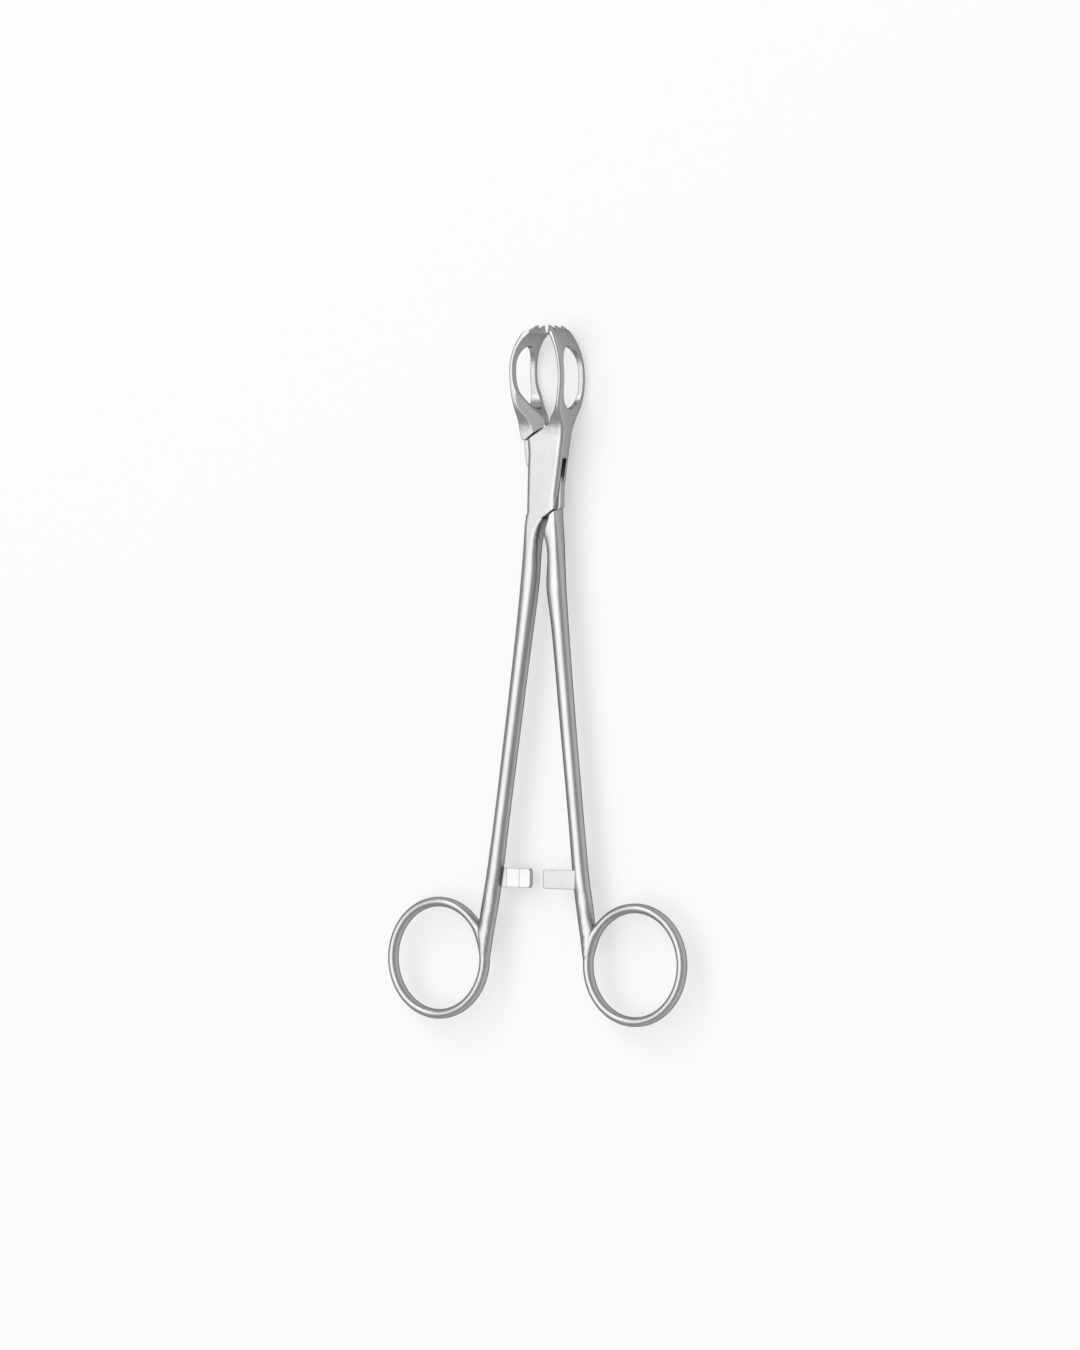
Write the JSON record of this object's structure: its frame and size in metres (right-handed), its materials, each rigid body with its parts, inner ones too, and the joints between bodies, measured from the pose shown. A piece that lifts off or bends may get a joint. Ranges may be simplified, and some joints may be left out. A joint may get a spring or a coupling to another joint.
{
  "type": "tissue forceps",
  "caption": "Ring-handled tissue forceps with a box lock, ratchet, and wide fenestrated jaws that end in interlocking teeth.",
  "frame": {"origin": "on the lock pin's axis, at the flat underside of the box lock", "axes": "+Y from the finger rings to the jaws, +X to the right as seen from above, +Z along the lock pin, upwards"},
  "size_m": [0.0994, 0.1979, 0.0136],
  "materials": {
    "satin_steel": "satin polished stainless steel",
    "pin_steel": "satin ground stainless steel"
  },
  "bodies": {
    "box": {"box_half": "satin_steel", "lock_pin": "pin_steel"},
    "through": {"through_half": "satin_steel"}
  },
  "joints": [
    {"name": "lock_hinge", "type": "hinge", "parent": "box", "child": "through", "pos_m": [0, 0, 0.0028], "axis": [0, 0, 1], "range_deg": [-6, 62]}
  ]
}
